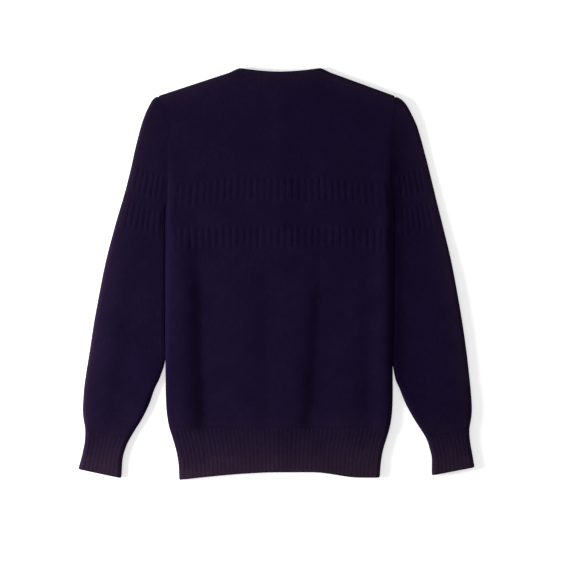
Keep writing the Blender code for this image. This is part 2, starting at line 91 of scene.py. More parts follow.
# Widths and depths that space each piece's columns, ribs and stitches
BACK_WIDTH = 360.0
FRONT_WIDTH = 165.0
SLEEVE_WIDTH = 90.0
SLEEVE_STEP = 18.0
CUFF_STEP = 20.0
CUFF_END_STEP = 24.0
HEM_BACK_WIDTH = 350.0
HEM_FRONT_WIDTH = 160.0
HEM_DEPTH = 71.5
NECKBAND_DEPTH = 16.0

# Ribs
BACK_RIBS = 32
SLEEVE_RIBS = (6, 7)
CUFF_RIBS = 9
HEM_BACK_RIBS = 48
HEM_FRONT_RIBS = 22
NECKBAND_RIBS = 74
RIB_MARGIN = 0.6
EDGE_RIB = {"dip": 0.5, "sharp": 0.8}
NECKBAND_RIB_SHARE = 0.6
BAND_RIB_WIDTH = 6.0
BAND_RIB_DEPTH = 0.6

# Seeds of the ribs' unevenness
BACK_SEED = 21
SLEEVE_SEED = 31
CUFF_SEED = 41
HEM_SEED = 51
NECKBAND_SEED = 61

# Body
AXIS_X = 5.9
TIP_Y = 284.0
YOKE_Y = 176.0
ARMPIT_Y = 107.5
HEM_TOP = -246.0
HEM_MIDDLE = -318.0
HEM_LEFT_START = -0.6
HEM_LEFT_REACH = 147.0
HEM_LEFT_DROP = 11.5
HEM_LEFT_POWER = 1.5
HEM_RIGHT_START = 57.0
HEM_RIGHT_REACH = 77.0
HEM_RIGHT_DROP = 8.6

# Seam and free edge of the neckband: half width, height of its peaks, and its drops
NeckLine = namedtuple("NeckLine", "half top back_drop back_power front_drop")
NECK = NeckLine(81.6, 321.0, 15.0, 2.4, 96.0)
COLLAR = NeckLine(66.4, 328.2, 6.3, 1.6, 86.8)
NECK_TURN = 0.52

# Front bands and buttons
PLACKET_HALF = 15.0
PLACKET_INSET = 0.5
FRONT_EDGE = PLACKET_HALF + 0.3
PLACKET_REACH = 12.0
BUTTON_COUNT = 7
BUTTON_TOP_Y = 230.0
BUTTON_BOTTOM_Y = -288.0
BUTTON_RISE = 2.9
BUMP_FLAT = 9.5
BUMP_REACH = 14.5

BodyRow = namedtuple("BodyRow", "y left right")
BODY = tuple(BodyRow(*row) for row in (
    (284.0, -188.3, 189.0),
    (269.0, -181.0, 190.9),
    (255.0, -175.7, 189.3),
    (239.0, -170.8, 187.6),
    (218.0, -168.5, 186.1),
    (196.0, -168.5, 185.0),
    (176.0, -170.2, 184.4),
    (155.0, -172.2, 184.3),
    (113.0, -176.0, 187.0),
    (107.5, -176.5, 187.5),
    (40.0, -177.7, 187.9),
    (-80.0, -177.8, 187.0),
    (-165.0, -177.1, 186.3),
    (-196.0, -176.8, 186.3),
    (-225.0, -175.0, 185.0),
    (-246.0, -171.4, 181.7),
    (-264.0, -165.7, 176.5),
    (-283.0, -160.3, 170.7),
    (-302.0, -156.8, 167.5),
    (-330.0, -155.2, 165.2),
))

# Sections across the sleeves, from the shoulder to the cuff's end
SleeveRow = namedtuple("SleeveRow", "outer_x outer_y gap inner_y")
SLEEVES = {
    "left": tuple(SleeveRow(*row) for row in (
        (-191.8, 282.3, 0.3, 282.0),
        (-197.5, 278.2, 0.3, 269.0),
        (-203.0, 269.1, 0.3, 255.0),
        (-209.9, 254.7, 0.3, 239.0),
        (-216.5, 235.5, 0.3, 218.0),
        (-222.9, 211.5, 0.3, 196.0),
        (-227.7, 191.5, 0.3, 176.0),
        (-232.3, 169.9, 0.3, 155.0),
        (-241.4, 133.1, 0.3, 113.0),
        (-243.9, 124.7, 0.4, 107.5),
        (-246.2, 116.3, 0.4, 99.0),
        (-257.8, 77.1, 0.4, 51.5),
        (-272.5, 21.1, 0.4, 0.3),
        (-282.9, -30.1, 0.4, -46.1),
        (-291.7, -78.1, 0.4, -92.5),
        (-299.0, -126.1, 0.2, -135.7),
        (-304.2, -158.1, 9.2, -166.1),
        (-307.7, -183.7, 18.2, -185.3),
        (-309.6, -210.9, 28.6, -211.7),
        (-309.3, -228.5, 44.0, -236.5),
        (-306.2, -249.3, 67.5, -262.9),
        (-306.7, -268.5, 79.5, -278.1),
        (-310.6, -289.3, 89.3, -298.9),
        (-317.0, -313.0, 93.1, -327.7),
    )),
    "right": tuple(SleeveRow(*row) for row in (
        (192.9, 282.0, 1.4, 281.6),
        (200.2, 278.2, 0.7, 269.0),
        (208.6, 269.1, 0.3, 255.0),
        (216.6, 254.7, 0.3, 239.0),
        (225.3, 235.5, 0.3, 218.0),
        (232.6, 211.5, 0.3, 196.0),
        (237.9, 191.5, 0.3, 176.0),
        (242.7, 173.1, 0.3, 155.0),
        (252.5, 133.1, 0.3, 113.0),
        (254.4, 125.1, 0.4, 107.5),
        (256.3, 117.1, 0.4, 99.0),
        (267.5, 72.3, 0.4, 56.3),
        (279.8, 21.1, 0.4, 1.9),
        (289.6, -30.1, 0.4, -46.1),
        (297.8, -78.1, 0.4, -92.5),
        (304.6, -126.1, -0.4, -135.7),
        (308.3, -158.1, 4.2, -166.9),
        (311.0, -183.7, 11.6, -185.3),
        (313.0, -210.9, 23.0, -211.7),
        (312.5, -228.5, 40.0, -237.3),
        (309.3, -249.3, 62.6, -262.9),
        (310.2, -268.5, 73.1, -278.1),
        (313.8, -289.3, 80.8, -295.7),
        (317.3, -310.1, 83.7, -323.2),
    )),
}
ARMPIT_ROW = 9
CUFF_ROW = 20
LAST_ROW = 23

# Rows of the cloth down each piece: from one place to the next, in steps. The steps are short
# where the cloth turns over a shoulder, along the raised bands and at the seams
BACK_ROWS = (
    (TIP_Y, 262, 1.8), (262, 158, 4.6), (158, 110, 1.6), (110, 83, 3.6),
    (83, 37, 1.6), (37, HEM_TOP + 6, 4.6), (HEM_TOP + 6, HEM_TOP - SEAM_LAP, 1.5),
)
FRONT_ROWS = ((TIP_Y, 262, 2.4), (262, HEM_TOP - SEAM_LAP, 5.5))
SLEEVE_ROWS = (
    (0, 7, 0.22), (7, 8, 0.04), (8, 10, 0.22), (10, 11, 0.035),
    (11, CUFF_ROW - 0.3, 0.1), (CUFF_ROW - 0.3, CUFF_ROW, 0.07),
)
CUFF_ROWS = (
    (CUFF_ROW - 0.01, CUFF_ROW + 0.3, 0.05), (CUFF_ROW + 0.3, LAST_ROW - 0.2, 0.12),
    (LAST_ROW - 0.2, LAST_ROW, 0.03),
)
NECKBAND_ROWS = ((-NECKBAND_LAP, 0.16, 0.04), (0.16, 0.84, 0.1), (0.84, 1.0, 0.04))

# Raised bands of upright ribs: on the body between two heights, on the sleeves between
# two sections
BODY_BANDS = ((155.0, 113.5), (77.0, 39.0))
SLEEVE_BANDS = ((7.0, 8.0), (10.0, 11.0))

# Both of the body's bands droop toward its sides, and the ribs' ends are rounded and ragged
BAND_DROOP = (11.0, 3.0)
DROOP_FROM = 0.35
DROOP_REACH = 0.6
BODY_BAND_ENDS = {"ease": 5.0, "ragged": 2.0}
SLEEVE_BAND_ENDS = {"ease": 0.12, "ragged": 0.06}

# Soft creases, wider to one side than to the other: troughs are deep, ridges have a negative
# depth. Each one fades in below its top and out below its bottom. A power of 1 gives a sharp
# valley and 3 a flat one
Crease = namedtuple(
    "Crease", "x_top y_top x_bottom y_bottom left right depth power fade_in fade_out")
CREASES = tuple(Crease(*row) for row in (
    (-122.0, 70.0, -111.0, -243.0, 15.0, 48.0, 4.8, 2.0, 120.0, 18.0),
    (80.0, 60.0, 59.0, -243.0, 16.0, 46.0, 4.3, 2.0, 130.0, 18.0),
    (44.0, 40.0, 30.0, -243.0, 24.0, 20.0, -1.0, 2.0, 120.0, 18.0),
    (-14.0, 60.0, -8.0, -243.0, 20.0, 34.0, 2.0, 2.0, 120.0, 20.0),
    (146.0, 20.0, 150.0, -243.0, 15.0, 20.0, 1.5, 2.0, 120.0, 20.0),
    (-154.0, 110.0, -146.0, -243.0, 22.0, 18.0, -2.8, 2.0, 80.0, 18.0),
    (174.0, 200.0, 172.0, -243.0, 15.0, 12.0, -3.2, 2.0, 90.0, 18.0),
    (-172.0, 250.0, -179.0, -150.0, 26.0, 4.0, 3.8, 1.2, 130.0, 50.0),
    (204.0, 275.0, 210.0, -160.0, 20.0, 60.0, 4.7, 3.0, 110.0, 60.0),
    (-232.0, 90.0, -280.0, -230.0, 26.0, 22.0, -2.4, 2.0, 100.0, 40.0),
    (282.0, 90.0, 300.0, -230.0, 16.0, 12.0, -1.0, 2.0, 100.0, 40.0),
))

# Short dents across the cloth: middle, half length along X, half width along Y, depth
Dent = namedtuple("Dent", "x y length width depth")
DENTS = (
    Dent(296.0, -172.0, 15.0, 3.2, 1.5),
    Dent(-262.0, -118.0, 22.0, 9.0, 0.7),
    Dent(-150.0, -196.0, 20.0, 8.0, 0.6),
)

# Painted light: the yarn is painted paler between these places along Y, toward the bottom, and
# toward the folded rim
PAINTED_LIGHT_FROM = -150.0
PAINTED_LIGHT_TO = -325.0
PAINTED_LIGHT_POWER = 3.0
RIM_REACH = 12.0
RIM_PAINTED_LIGHT = 0.5
STITCH_BUMP = 0.0006

# Name and share of the stitch width of each knit, by its material slot
Finish = namedtuple("Finish", "name narrowing")
FINISHES = {"knit": Finish("Body knit", 1.0), "rib": Finish("Edge rib", 0.8)}

# Camera and light
VIEW_CENTRE = (13.8, -19.1)
VIEW_WIDTH = 912.0
VIEW_HEIGHT = 2400.0
SENSOR = 36.0
KEY_PLACE = (-1.5, -0.1, 0.62)
KEY_SIZE = 0.68
KEY_WATTS = 46.0
SKY = 0.40
FLOOR_GLOW = 0.5
FLOOR_SIZE = 4.0
WHITE = (1.0, 1.0, 1.0, 1.0)

# The cut of each piece: width and length in metres, and the area of the shaped cut
Cut = namedtuple("Cut", "width length area")
CUTS = {
    "back": Cut(0.380, 0.567, 0.196),
    "front": Cut(0.182, 0.567, 0.093),
    "sleeve": Cut(0.245, 0.560, 0.108),
    "cuff": Cut(0.160, 0.076, 0.0115),
    "hem_back": Cut(0.356, 0.081, 0.0262),
    "hem_front": Cut(0.166, 0.081, 0.0122),
    "neckband": Cut(0.500, 0.016, 0.0074),
    "band": Cut(0.030, 0.560, 0.0166),
}


class CardiganShape(bpy.types.PropertyGroup):
    """Sizes of the cloth and its relief."""
    wall: bpy.props.FloatProperty(
        name="Cloth thickness", description="Thickness of the knitted cloth",
        default=0.0024, min=0.001, max=0.003, unit="LENGTH", subtype="DISTANCE")
    band_rib: bpy.props.FloatProperty(
        name="Band rib height", description="Height of the ribs in the raised bands",
        default=0.00068, min=0.0, max=0.003, unit="LENGTH", subtype="DISTANCE")
    edge_rib: bpy.props.FloatProperty(
        name="Edge rib height", description="Height of the ribs in hem, cuffs and neckband",
        default=0.0003, min=0.0, max=0.003, unit="LENGTH", subtype="DISTANCE")
    crease: bpy.props.FloatProperty(
        name="Crease depth", description="Share of the full depth of the creases",
        default=1.0, min=0.0, max=1.5, subtype="FACTOR")
    wale: bpy.props.FloatProperty(
        name="Stitch width", description="Width of one knitted stitch",
        default=0.0022, min=0.001, max=0.006, unit="LENGTH", subtype="DISTANCE")
    course: bpy.props.FloatProperty(
        name="Stitch height", description="Height of one knitted stitch",
        default=0.0017, min=0.001, max=0.006, unit="LENGTH", subtype="DISTANCE")


class CardiganColours(bpy.types.PropertyGroup):
    """Colours of the yarn, the light painted on it, the buttons and the floor."""
    knit: bpy.props.FloatVectorProperty(
        name="Body yarn", description="Colour of the body and sleeves",
        default=(0.0088, 0.0043, 0.0234), size=3, min=0.0, max=1.0, subtype="COLOR")
    rib: bpy.props.FloatVectorProperty(
        name="Rib yarn", description="Colour of the ribbed edges",
        default=(0.0090, 0.0045, 0.0234), size=3, min=0.0, max=1.0, subtype="COLOR")
    # Painted light: the paler colour mixed into the yarn toward the bottom and toward the folded
    # rim
    painted_light: bpy.props.FloatVectorProperty(
        name="Painted light", description="Paler colour painted on as light toward the bottom and the rim",
        default=(0.0310, 0.0165, 0.0340), size=3, min=0.0, max=1.0, subtype="COLOR")
    horn: bpy.props.FloatVectorProperty(
        name="Buttons", description="Colour of the buttons",
        default=(0.0120, 0.0090, 0.0200), size=3, min=0.0, max=1.0, subtype="COLOR")
    floor: bpy.props.FloatVectorProperty(
        name="Floor", description="Colour of the floor",
        default=(0.93, 0.93, 0.93), size=3, min=0.0, max=1.0, subtype="COLOR")


# Curves and tables


def smooth(value):
    """Ease from 0 to 1."""
    value = np.clip(value, 0.0, 1.0)
    return value * value * (3 - 2 * value)


def through(places, values, at):
    """Read a table smoothly between its rows. Places rise from row to row."""
    places = np.asarray(places, float)
    values = np.asarray(values, float)
    at = np.clip(at, places[0], places[-1])
    slopes = np.gradient(values, places)
    low = np.clip(np.searchsorted(places, at, side="right") - 1, 0, len(places) - 2)
    step = places[low + 1] - places[low]
    part = (at - places[low]) / step
    rest = 1 - part
    return (
        values[low] * (1 + 2 * part) * rest * rest
        + values[low + 1] * (1 + 2 * rest) * part * part
        + slopes[low] * step * part * rest * rest
        - slopes[low + 1] * step * part * part * rest
    )


def size(name):
    """One of the cloth's sizes in millimetres."""
    return getattr(bpy.context.scene.cardigan_shape, name) / MM


def toward(side):
    """-1 on the left and 1 on the right."""
    return -1 if side == "left" else 1


def body_edge(side, y):
    """X of the body's left or right edge at a height on the page."""
    rows = BODY[::-1]
    return through([row.y for row in rows], [getattr(row, side) for row in rows], y)


def sleeve_ends(side, station):
    """Outer and inner ends of sections across a sleeve, in plan."""
    table = SLEEVES[side]
    index = np.arange(len(table))
    read = {
        name: through(index, [getattr(row, name) for row in table], station)
        for name in SleeveRow._fields
    }
    outer = np.stack((read["outer_x"], read["outer_y"]), axis=-1)
    inner_x = body_edge(side, read["inner_y"]) + toward(side) * (read["gap"] - SEAM_CLOSED)
    return outer, np.stack((inner_x, read["inner_y"]), axis=-1)


def hem_bottom(x):
    """Y of the hem's lower edge, which drops slowly to its left corner and sooner to its right."""
    left = np.maximum((HEM_LEFT_START - x) / HEM_LEFT_REACH, 0.0) ** HEM_LEFT_POWER
    right = smooth((x - HEM_RIGHT_START) / HEM_RIGHT_REACH)
    return HEM_MIDDLE - HEM_LEFT_DROP * left - HEM_RIGHT_DROP * right


def back_curve(across, line):
    """Line across the back of the neck, from -1 at the left to 1 at the right."""
    y = line.top - line.back_drop * (1 - np.abs(across) ** line.back_power)
    return np.stack((AXIS_X + across * line.half, y), axis=-1)


def front_curve(side, station, line):
    """Quarter ellipse from the shoulder to the front band."""
    angle = station * math.acos(FRONT_EDGE / line.half)
    x = AXIS_X + toward(side) * line.half * np.cos(angle)
    return np.stack((x, line.top - line.front_drop * np.sin(angle)), axis=-1)


def waver(x, y, seed, size):
    """Slow uneven rise and fall between about -1 and 1."""
    rng = np.random.RandomState(seed)
    total = 0.0
    for _ in range(5):
        angle, phase = rng.uniform(0, math.tau, 2)
        length = size * rng.uniform(0.6, 1.6)
        run = x * math.cos(angle) + y * math.sin(angle)
        total = total + np.sin(run * math.tau / length + phase)
    return total / 3.2


# Folds and the lie of the cloth

# A fold is split where a seam runs along it, and outer where painted light brightens the yarn
# toward it
Fold = namedtuple("Fold", "path side split turn outer")


def outer_fold(side, split):
    """From the neckband's peak over the shoulder and down the sleeve to the cuff."""
    station = np.arange(0, LAST_ROW + 0.01, 0.2)
    path = [
        (AXIS_X + toward(side) * COLLAR.half, COLLAR.top),
        (AXIS_X + toward(side) * NECK.half, NECK.top),
        (getattr(BODY[0], side), TIP_Y),
    ]
    outer, _ = sleeve_ends(side, station)
    return Fold(np.vstack((path, outer)), False, split, -toward(side), True)


def side_fold(side):
    """From the armpit down the body's side to the hem."""
    y = np.arange(ARMPIT_Y, BODY[-1].y, -4.0)
    return Fold(np.stack((body_edge(side, y), y), axis=-1), True, True, -toward(side), False)


def inner_fold(side):
    """From the armpit down the sleeve's inner edge to the cuff."""
    _, inner = sleeve_ends(side, np.arange(ARMPIT_ROW, LAST_ROW + 0.01, 0.2))
    return Fold(inner, False, True, toward(side), False)


def reach_to(fold, spots):
    """Distance from each place in to a fold, and the direction in from it."""
    best = np.full(len(spots), np.inf)
    outside = np.zeros(len(spots), bool)
    inward = np.zeros((len(spots), 2))
    for start, end in zip(fold.path, fold.path[1:]):
        along = end - start
        length = math.hypot(*along)
        if length < 1e-6:
            continue
        along = along / length
        offset = spots - start
        part = np.clip(offset @ along, 0.0, length)
        away = offset - part[:, None] * along
        distance = np.hypot(away[:, 0], away[:, 1])
        side = np.array((-along[1], along[0])) * fold.turn
        beyond = (away @ side < 0) & (distance < FOLD_BEYOND) | (distance < FOLD_TOUCH)
        close = distance < best
        direction = away / np.maximum(distance, FOLD_TOUCH)[:, None]
        direction = np.where(beyond[:, None], side, direction)
        best = np.where(close, distance, best)
        outside = np.where(close, beyond, outside)
        inward = np.where(close[:, None], direction, inward)
    return np.where(outside, 0.0, best), inward


def fold_level(fold, y):
    """Height of a folded edge. The body's sides rise above the sleeves."""
    if not fold.side:
        return np.full(len(y), FOLD_LEVEL)
    return FOLD_LEVEL + (SIDE_LEVEL - FOLD_LEVEL) * smooth((ARMPIT_Y - y) / SIDE_RISE)


def height_at(x, y, share):
    """Height of the upper cloth away from its folded edges."""
    height = LAID_HEIGHT + CENTRE_RISE * np.exp(-(((x - AXIS_X) / CENTRE_REACH) ** 2))
    for crease in CREASES:
        along = (crease.y_top - y) / (crease.y_top - crease.y_bottom)
        away = x - crease.x_top - (crease.x_bottom - crease.x_top) * along
        width = np.where(away < 0, crease.left, crease.right)
        faded_in = smooth((crease.y_top - y) / crease.fade_in)
        faded_out = smooth((crease.y_bottom - y) / crease.fade_out)
        weight = faded_in * (1 - faded_out) * np.exp(-(np.abs(away / width) ** crease.power))
        height = height - share * crease.depth * weight
    for dent in DENTS:
        away = ((x - dent.x) / dent.length) ** 2 + ((y - dent.y) / dent.width) ** 2
        height = height - share * dent.depth * np.exp(-away)
    for seed, length, size in WAVERS:
        height = height + size * waver(x, y, seed, length)
    return height


def lift_at(x):
    """How far the left front rises to reach its band, which lies over the other band."""
    edge = AXIS_X - PLACKET_HALF
    lift = SECOND_LAYER * smooth((x - edge + PLACKET_REACH) / PLACKET_REACH)
    return np.where(x > edge + PLACKET_HALF, 0.0, lift)


def lay(spots, upper, folds, section=None):
    """Points and outward normals of the upper or lower cloth, and how near its rim they are."""
    x, y = spots[:, 0], spots[:, 1]
    share = bpy.context.scene.cardigan_shape.crease
    distance = np.full(len(x), np.inf)
    inward = np.zeros((len(x), 2))
    level = np.zeros(len(x))
    split = np.zeros(len(x))
    rim = np.zeros(len(x))
    for fold in folds:
        far, way = reach_to(fold, spots)
        if fold.outer:
            rim = np.maximum(rim, np.exp(-far / RIM_REACH))
        close = far < distance
        distance = np.where(close, far, distance)
        inward = np.where(close[:, None], way, inward)
        level = np.where(close, fold_level(fold, y), level)
        split = np.where(close, SEAM_SPLIT if fold.split else 0.0, split)
    if section is not None:
        same = (inward * section).sum(axis=1) > 0
        along = np.where(same[:, None], section, -section)
        usable = ~np.isnan(section[:, 0])
        inward = np.where(usable[:, None], along, inward)
    lean = np.maximum(1 - distance / FOLD_REACH, 0.0)
    turn = np.sqrt(1 - lean * lean)
    upper = np.broadcast_to(upper, len(x))
    rise = height_at(x, y, share) - level
    over = level + rise * turn + split * lean
    under = level * (1 - turn) - split * lean + lift_at(x)
    height = np.where(upper, over, under)
    slope = np.where(upper, rise, level)
    facing = np.where(upper, 1.0, -1.0)
    normal = np.stack((
        -inward[:, 0] * slope * lean,
        -inward[:, 1] * slope * lean,
        facing * FOLD_REACH * turn,
    ), axis=-1)
    normal /= np.maximum(np.linalg.norm(normal, axis=1), 1e-9)[:, None]
    return np.stack((x, y, height), axis=-1), normal, rim


# Relief


def between(share, margin):
    """Share of the width that is left between two equal margins."""
    return (share - margin) / (1 - 2 * margin)


def rib_number(position, count):
    """Number of the rib at a place, and the place as a share of all the ribs."""
    at = np.clip(position, 0.0, 0.99999) * count
    return at.astype(int), at


def ribs(position, count, seed, dip=0.35, sharp=0.55):
    """Upright ribs across 0 to 1, from -dip in a gap to 1 on a rib, a little uneven."""
    rng = np.random.RandomState(seed)
    number, at = rib_number(position, count)
    uneven = rng.uniform(0.80, 1.12, count + 1)[number]
    shifted = at + 0.12 * rng.uniform(-1, 1, count + 1)[number] * np.sin(math.pi * (at % 1.0))
    hump = np.abs(np.sin(math.pi * (shifted % 1.0))) ** sharp
    inside = (position > 0) & (position < 1)
    return np.where(inside, (hump * (1 + dip) - dip) * uneven, 0.0)


def rib_band(position, along, band, count, seed, ease, ragged):
    """Raised ribs between two places along the cloth, with rounded and uneven ends."""
    rng = np.random.RandomState(seed + 100)
    number, at = rib_number(position, count)
    first, last = (rng.uniform(-ragged, ragged, count + 1)[number] for _ in range(2))
    rounded = 0.8 * ease * (1 - np.sin(math.pi * (at % 1.0)))
    from_low = along - min(band) - first - rounded
    from_high = max(band) + last - rounded - along
    inside = smooth(from_low / ease) * smooth(from_high / ease)
    return inside * ribs(position, count, seed, 0.2, 0.8)


def edge_dip(distance, depth, reach=DIP_REACH):
    """Sinks the cloth's outer face as it nears an edge or seam."""
    return -depth * np.maximum(1 - distance / reach, 0.0) ** 2


def pressed(relief, rib):
    """Ribs on the underside, pressed level: only the grooves between them are left."""
    return np.minimum(relief - rib, 0.0) * 0.5


# Meshes


def steps_across(width, cells, per_cell, near_end=True, far_end=True):
    """Shares of a width: short steps over a folded end, even steps between."""
    fold = np.array(FOLD_STEPS)
    first = FOLD_REACH if near_end else 0.0
    last = width - FOLD_REACH if far_end else width
    even = np.linspace(first, last, cells * per_cell + 1)
    parts = [fold if near_end else [], even, width - fold[::-1] if far_end else []]
    return np.concatenate(parts) / width


def steps_down(*stretches):
    """Row places: each stretch runs from its first to its last value in even steps."""
    rows = []
    for first, last, step in stretches:
        count = max(int(round(abs(last - first) / step)), 1)
        rows.append(np.linspace(first, last, count + 1)[:-1])
    rows.append([stretches[-1][1]])
    return np.concatenate(rows)


def sheet_mesh(name, columns, rows, shape):
    """Thin closed shell of cloth. The shape function takes each column's and row's number
    and returns points, outward normals, relief, the cloth's own map in millimetres, and how
    near the rim each point is."""
    mesh = bmesh.new()
    bmesh.ops.create_grid(mesh, x_segments=columns, y_segments=rows, size=0.5)
    risen = bmesh.ops.extrude_face_region(mesh, geom=mesh.faces[:], use_keep_orig=True)
    for item in risen["geom"]:
        if isinstance(item, bmesh.types.BMVert):
            item.co.z = 1.0
    data = bpy.data.meshes.new(name)
    mesh.to_mesh(data)
    mesh.free()
    grid = np.empty(len(data.vertices) * 3)
    data.vertices.foreach_get("co", grid)
    grid = grid.reshape(-1, 3)
    column = np.rint((grid[:, 0] + 0.5) * columns).astype(int)
    row = np.rint((grid[:, 1] + 0.5) * rows).astype(int)
    outer = grid[:, 2] > 0.5
    points, normals, relief, flat, rim = shape(column, row)
    depth = np.where(outer, relief, np.minimum(relief, 0.0) * INNER_SHARE - size("wall"))
    place = points + normals * depth[:, None] + SHIFT
    data.vertices.foreach_set("co", (place * MM).ravel())
    corners = np.empty(len(data.loops), int)
    data.loops.foreach_get("vertex_index", corners)
    layer = data.uv_layers.new(name="Cloth")
    layer.uv.foreach_set("vector", (flat[corners] * MM).ravel())
    # Relief of the outer face, which the knit material reads to paint shade into the grooves
    groove = data.attributes.new("groove", "FLOAT", "POINT")
    groove.data.foreach_set("value", np.where(outer, relief, 0.0))
    # How near the folded rim each point is, which the knit material reads to paint light there
    edge = data.attributes.new("rim", "FLOAT", "POINT")
    edge.data.foreach_set("value", rim)
    data.update()
    return data


def face_out(data):
    """Point a closed shell's faces outwards."""
    mesh = bmesh.new()
    mesh.from_mesh(data)
    bmesh.ops.recalc_face_normals(mesh, faces=mesh.faces[:])
    if mesh.calc_volume(signed=True) < 0:
        bmesh.ops.reverse_faces(mesh, faces=mesh.faces[:])
    mesh.to_mesh(data)
    mesh.free()


def make_cloth(node_name, shape, finish, cut, *rests_on):
    """Make a piece of cloth in place of its solid. The cut is looked up but kept nowhere, and what
    the piece lies on is not used.
    """
    name = f"{node_name}_cloth"
    data = sheet_mesh(name, *shape)
    face_out(data)
    data.shade_smooth()
    data.set_sharp_from_angle(angle=SHARP_ANGLE)
    data.materials.append(knit_material(finish))
    piece = bpy.data.objects.new(name, data)
    bpy.context.scene.collection.objects.link(piece)
    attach(piece, "root")
    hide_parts(node_name)
    cut = CUTS[cut]


# Materials


def fill(tree, made, inputs):
    """Connect outputs to a node's inputs, or set the inputs' own values."""
    for name, value in inputs.items():
        if isinstance(value, bpy.types.NodeSocket):
            tree.links.new(value, made.inputs[name])
        else:
            made.inputs[name].default_value = value


def node(tree, kind, inputs=None, **settings):
    """New node with its settings and inputs."""
    made = tree.nodes.new(kind)
    for key, value in settings.items():
        setattr(made, key, value)
    fill(tree, made, inputs or {})
    return made


def sums(tree, operation, *values):
    """Math node."""
    inputs = dict(enumerate(values))
    return node(tree, "ShaderNodeMath", inputs, operation=operation).outputs[0]


def blend_colours(tree, factor, first, second, mode="MIX"):
    """Mix of two colours."""
    inputs = {"Factor": factor, 6: first, 7: second}
    return node(tree, "ShaderNodeMix", inputs, data_type="RGBA", blend_type=mode).outputs[2]


def noise(tree, place, scale, detail=2.0, roughness=0.5):
    """Soft noise between 0 and 1."""
    inputs = {"Vector": place, "Scale": scale, "Detail": detail, "Roughness": roughness}
    return node(tree, "ShaderNodeTexNoise", inputs).outputs["Fac"]


def stretched(tree, place, share):
    """Place scaled along Y."""
    inputs = {"Vector": place, "Scale": (1.0, share, 1.0)}
    return node(tree, "ShaderNodeMapping", inputs).outputs[0]


def ranged(tree, value, low, high):
    """Share of the way from low to high, kept between 0 and 1."""
    inputs = {"Value": value, "From Min": low, "From Max": high}
    return node(tree, "ShaderNodeMapRange", inputs).outputs[0]


def new_material(name):
    """New material, its node tree and its shader."""
    material = bpy.data.materials.new(name)
    material.use_nodes = True
    return material, material.node_tree, material.node_tree.nodes["Principled BSDF"]


def new_group(name, inputs, outputs):
    """Empty node group with named sockets."""
    group = bpy.data.node_groups.new(name, "ShaderNodeTree")
    for label, kind, default in inputs:
        kind = f"NodeSocket{kind}"
        socket = group.interface.new_socket(name=label, in_out="INPUT", socket_type=kind)
        if default is not None:
            socket.default_value = default
    for label, kind in outputs:
        kind = f"NodeSocket{kind}"
        group.interface.new_socket(name=label, in_out="OUTPUT", socket_type=kind)
    return group, node(group, "NodeGroupInput"), node(group, "NodeGroupOutput")


def stitch_group():
    """Rows of knitted V stitches: their height, and how deep a spot lies between strands."""
    if "Knitted stitches" in bpy.data.node_groups:
        return bpy.data.node_groups["Knitted stitches"]
    group, start, end = new_group(
        "Knitted stitches",
        (
            ("Cloth", "Vector", None),
            ("Stitch width", "Float", 0.0022),
            ("Stitch height", "Float", 0.0017),
            ("Unevenness", "Float", 0.25),
        ),
        (("Height", "Float"), ("Gap", "Float")),
    )
    maths = partial(sums, group)
    wobble = maths("SUBTRACT", noise(group, start.outputs["Cloth"], 260.0), 0.5)
    wobble = maths("MULTIPLY", wobble, start.outputs["Unevenness"])
    split = node(group, "ShaderNodeSeparateXYZ", {0: start.outputs["Cloth"]})
    wale = maths("DIVIDE", split.outputs["X"], start.outputs["Stitch width"])
    course = maths("DIVIDE", split.outputs["Y"], start.outputs["Stitch height"])
    across = maths("FRACT", maths("ADD", wale, wobble))
    from_middle = maths("ABSOLUTE", maths("SUBTRACT", across, 0.5))
    slanted = maths("SUBTRACT", course, maths("MULTIPLY", from_middle, 1.5))
    slanted = maths("ADD", slanted, wobble)
    strand = maths("SINE", maths("MULTIPLY", slanted, math.tau))
    strand = maths("ADD", maths("MULTIPLY", strand, 0.5), 0.5)
    leg = maths("SINE", maths("MULTIPLY", from_middle, math.tau))
    leg = maths("POWER", maths("MAXIMUM", leg, 0.0), 0.5)
    strand = maths("ADD", maths("MULTIPLY", strand, 0.6), 0.4)
    height = maths("MULTIPLY", leg, strand)
    fill(group, end, {"Height": height, "Gap": maths("SUBTRACT", 1.0, height)})
    return group


def yarn_and_shade_group():
    """Heathered yarn: lighter and darker fibres and soft patches, with painted shade in the gaps
    between strands and in the sunk relief.
    """
    if "Heathered yarn" in bpy.data.node_groups:
        return bpy.data.node_groups["Heathered yarn"]
    group, start, end = new_group(
        "Heathered yarn",
        (
            ("Place", "Vector", None),
            ("Cloth", "Vector", None),
            ("Colour", "Color", (0.01, 0.006, 0.02, 1.0)),
            ("Light fibre", "Color", (0.03, 0.02, 0.04, 1.0)),
            ("Gap", "Float", 0.0),
            ("Relief", "Float", 0.0),
        ),
        (("Colour", "Color"), ("Fuzz", "Float")),
    )
    maths = partial(sums, group)
    cloth = start.outputs["Cloth"]
    patches = noise(group, start.outputs["Place"], 22.0, 3.0)
    fibres = noise(group, stretched(group, cloth, 0.28), 1500.0, 3.0, 0.6)
    streaks = noise(group, stretched(group, cloth, 0.3), 330.0)
    share = maths("MULTIPLY", ranged(group, fibres, 0.46, 0.78), 0.55)
    for uneven, amount in ((patches, 0.5), (streaks, 0.6)):
        uneven = maths("MULTIPLY", maths("SUBTRACT", uneven, 0.5), amount)
        share = maths("ADD", share, uneven)
    share = maths("MAXIMUM", share, 0.0)
    colour = blend_colours(group, share, start.outputs["Colour"], start.outputs["Light fibre"])
    # Painted shade: darker in the gaps between strands and in the grooves of the relief
    shade = maths("MULTIPLY", start.outputs["Gap"], 0.45)
    groove_shade = maths("MULTIPLY", maths("MINIMUM", start.outputs["Relief"], 0.0), -0.9)
    shade = maths("MINIMUM", maths("ADD", shade, groove_shade), 0.8)
    colour = blend_colours(group, shade, colour, (0.0, 0.0, 0.0, 1.0))
    fill(group, end, {"Colour": colour, "Fuzz": fibres})
    return group


